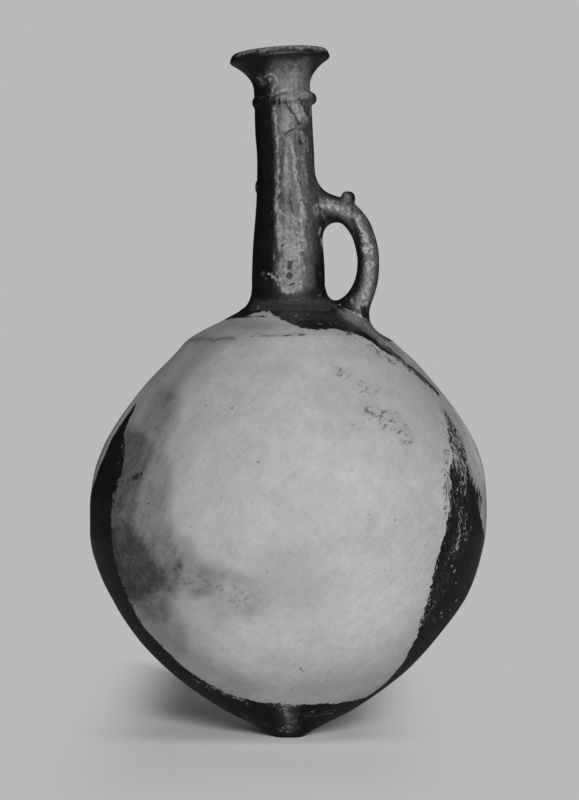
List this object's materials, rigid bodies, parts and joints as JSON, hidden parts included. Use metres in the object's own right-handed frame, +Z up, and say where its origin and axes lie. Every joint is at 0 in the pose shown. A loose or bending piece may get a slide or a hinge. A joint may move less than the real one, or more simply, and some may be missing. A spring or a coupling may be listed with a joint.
{
  "type": "pottery jug",
  "caption": "Handmade round-bodied pottery jug with a pointed base, tall ringed neck, flared mouth and one loop handle with a knob.",
  "frame": {"origin": "centre of the flat foot, on the surface that the jug stands on", "axes": "+Z up along the body's axis, +X towards the handle, -Y towards the front with the large light field"},
  "size_m": [0.2658, 0.2658, 0.4618],
  "materials": {
    "pale_clay": "smoothed and lightly burnished, pale field",
    "shoulder_clay": "smoothed, smudged pale clay",
    "dark_slip": "burnished dark slip with a soft gloss",
    "worn_slip": "burnished dark slip, worn and encrusted"
  },
  "bodies": {
    "root": {"base_point": "dark_slip", "body_course_1": "pale_clay", "body_course_2": "pale_clay", "body_course_3": "pale_clay", "body_course_4": "pale_clay", "body_course_5": "pale_clay", "shoulder": "shoulder_clay", "neck_foot_coil": "dark_slip", "neck_tube": "dark_slip", "neck_ring": "worn_slip", "mouth": "dark_slip", "neck_pellet": "dark_slip", "handle": "worn_slip", "handle_knob": "worn_slip"}
  },
  "joints": []
}
